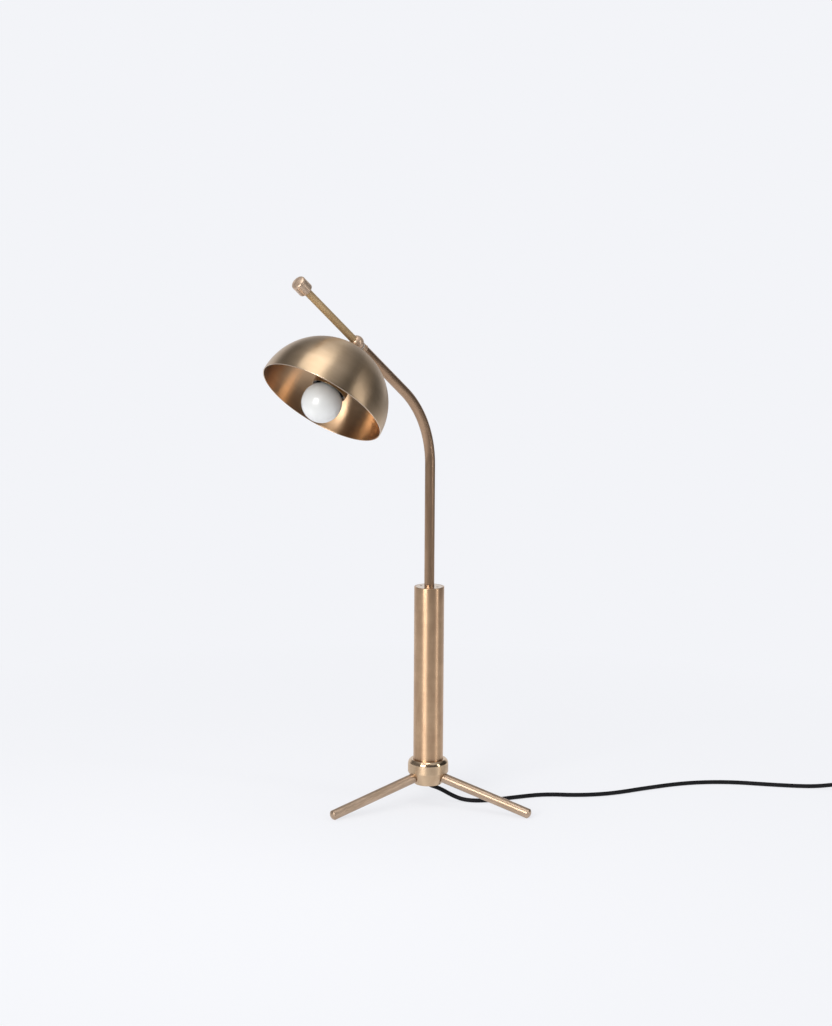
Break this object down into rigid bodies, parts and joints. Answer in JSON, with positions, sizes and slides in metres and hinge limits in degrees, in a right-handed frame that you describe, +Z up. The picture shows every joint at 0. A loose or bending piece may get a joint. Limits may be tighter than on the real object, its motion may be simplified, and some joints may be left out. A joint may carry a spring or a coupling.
{
  "type": "desk lamp",
  "caption": "Brass desk lamp: rod legs, turned hub, column tube, bent swivelling stem and a domed shade with a globe bulb that turns about the arm by its handle rod.",
  "frame": {"origin": "on the table, under the middle of the lamp's own box without its free cord", "axes": "+Z up; the leg under the shade points along -X and the base is symmetric about Y = 0"},
  "size_m": [0.9207, 0.4534, 0.6836],
  "materials": {
    "satin_brass": "satin, antique brass",
    "dark_brass": "satin, dark antique brass",
    "plain_brass": "plain, turned",
    "steel": "zinc plated",
    "black_plastic": "moulded",
    "rocker_plastic": "polished",
    "white_plastic": "moulded",
    "fibre": "pressed fibre",
    "cord_rubber": "smooth sheath",
    "lead_sheath": "smooth sheath",
    "tie_band": "woven band",
    "frosted_glass": "frosted",
    "insulator_glass": "black glass"
  },
  "bodies": {
    "base": {"hub": "satin_brass", "leg_front": "satin_brass", "leg_right": "satin_brass", "leg_back": "satin_brass", "leg_studs": "steel", "hub_set_screw": "steel", "column_tube": "satin_brass", "column_top_cap": "satin_brass", "lower_bush": "plain_brass", "cord_gland": "cord_rubber", "cord_stop": "white_plastic", "inlet_cord": "cord_rubber", "terminal_block": "white_plastic", "terminal_screws": "plain_brass", "column_lead": "lead_sheath", "mains_cord": "cord_rubber", "cord_coil": "cord_rubber", "cord_tie": "tie_band", "switch_base": "black_plastic", "switch_cover": "black_plastic", "switch_screws": "steel", "switch_sleeves": "cord_rubber", "plug_body": "black_plastic", "plug_blades": "plain_brass"},
    "stem": {"stem_tube": "dark_brass", "thrust_collar": "plain_brass", "friction_washer": "fibre", "retaining_collar": "plain_brass", "collar_grub_screws": "steel", "arm_ferrule": "dark_brass", "ferrule_screw": "steel", "swivel_washer": "white_plastic", "stem_lead": "lead_sheath"},
    "head": {"knuckle_ball": "satin_brass", "handle_rod": "dark_brass", "handle_cap": "satin_brass", "shade_washer": "fibre", "shade": "satin_brass", "nipple": "plain_brass", "shade_nut": "plain_brass", "socket_cup": "satin_brass", "lampholder_cap": "black_plastic", "lampholder_body": "black_plastic", "screw_shell": "plain_brass", "centre_contact": "plain_brass", "bulb_globe": "frosted_glass", "bulb_base": "plain_brass", "bulb_insulator": "insulator_glass", "bulb_contact": "plain_brass", "head_lead": "lead_sheath"},
    "rocker": {"switch_rocker": "rocker_plastic"}
  },
  "joints": [
    {"name": "stem_swivel", "type": "hinge", "parent": "base", "child": "stem", "pos_m": [0.08186, 0, 0.284], "axis": [0, 0, 1], "range_deg": [-90, 90]},
    {"name": "head_swivel", "type": "hinge", "parent": "stem", "child": "head", "pos_m": [-0.04052, -0.02335, 0.60026], "axis": [-0.7601, -0.145, 0.6334], "range_deg": [-90, 90]},
    {"name": "switch_rocker_tip", "type": "hinge", "parent": "base", "child": "rocker", "pos_m": [0.62586, -0.26645, 0.0125], "axis": [-0.5664, -0.8241, 0], "range_deg": [0, 16]}
  ]
}
